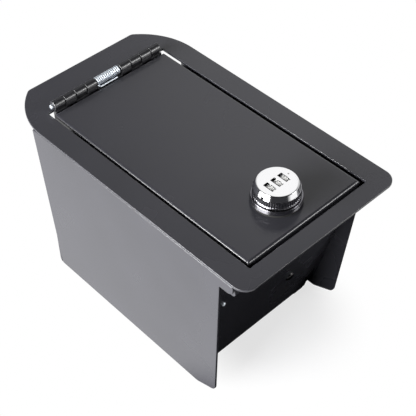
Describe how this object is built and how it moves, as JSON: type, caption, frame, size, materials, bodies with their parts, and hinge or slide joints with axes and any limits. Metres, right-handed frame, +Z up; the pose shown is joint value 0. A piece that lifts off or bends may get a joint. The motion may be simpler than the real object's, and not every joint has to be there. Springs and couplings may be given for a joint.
{
  "type": "console safe",
  "caption": "Vehicle console safe: flanged sheet-steel body with leaning sides, flush hinged lid with a spring, and a turning lock knob with number wheels.",
  "frame": {"origin": "middle of the flange's length and width, on the surface the safe stands on", "axes": "+X to the right across the safe seen from its lock end, +Y from the lock end to the hinge end, +Z up"},
  "size_m": [0.152, 0.261, 0.1737],
  "materials": {
    "body_paint": "satin powder coat",
    "hinge_paint": "gloss",
    "zinc": "zinc plated",
    "knob_chrome": "polished",
    "wheel_metal": "satin",
    "black_rubber": "matte",
    "plug_plastic": "gloss",
    "mark_paint": "matte"
  },
  "bodies": {
    "case": {"flange_plate": "body_paint", "left_side_plate": "body_paint", "right_side_plate": "body_paint", "front_panel": "body_paint", "back_panel": "body_paint", "bottom_panel": "body_paint", "latch_shelf": "body_paint", "panel_rivets": "zinc", "cable_plug": "plug_plastic", "hinge_body_leaf": "hinge_paint", "hinge_rivets": "zinc", "hinge_pin": "zinc", "hinge_spring": "zinc", "lid_bumpers": "black_rubber"},
    "lid": {"lid_panel": "body_paint", "hinge_lid_leaf": "hinge_paint", "lock_gasket": "black_rubber", "lock_bezel": "knob_chrome", "lock_barrel": "zinc", "lock_washer": "zinc", "lock_nut": "zinc"},
    "knob": {"lock_knob": "knob_chrome", "index_mark": "mark_paint", "dial_axle": "zinc", "lock_spindle": "zinc", "lock_cam": "zinc", "cam_washer": "zinc", "cam_screw": "zinc"},
    "wheel_1": {"dial_wheel_1": "wheel_metal"},
    "wheel_2": {"dial_wheel_2": "wheel_metal"},
    "wheel_3": {"dial_wheel_3": "wheel_metal"}
  },
  "joints": [
    {"name": "lid_hinge", "type": "hinge", "parent": "case", "child": "lid", "pos_m": [0, 0.0979, 0.1613], "axis": [-1, 0, 0], "range_deg": [0, 100], "stiffness_Nm_per_rad": 0.06, "springref_deg": 99.98, "deforming": ["hinge_spring"]},
    {"name": "knob_turn", "type": "hinge", "parent": "lid", "child": "knob", "pos_m": [0, -0.0837, 0.1572], "axis": [0, 0, -1], "range_deg": [0, 90]},
    {"name": "wheel_1_spin", "type": "hinge", "parent": "knob", "child": "wheel_1", "pos_m": [-0.0068, -0.0837, 0.1679], "axis": [1, 0, 0], "continuous": true},
    {"name": "wheel_2_spin", "type": "hinge", "parent": "knob", "child": "wheel_2", "pos_m": [0, -0.0837, 0.1679], "axis": [1, 0, 0], "continuous": true},
    {"name": "wheel_3_spin", "type": "hinge", "parent": "knob", "child": "wheel_3", "pos_m": [0.0068, -0.0837, 0.1679], "axis": [1, 0, 0], "continuous": true}
  ]
}
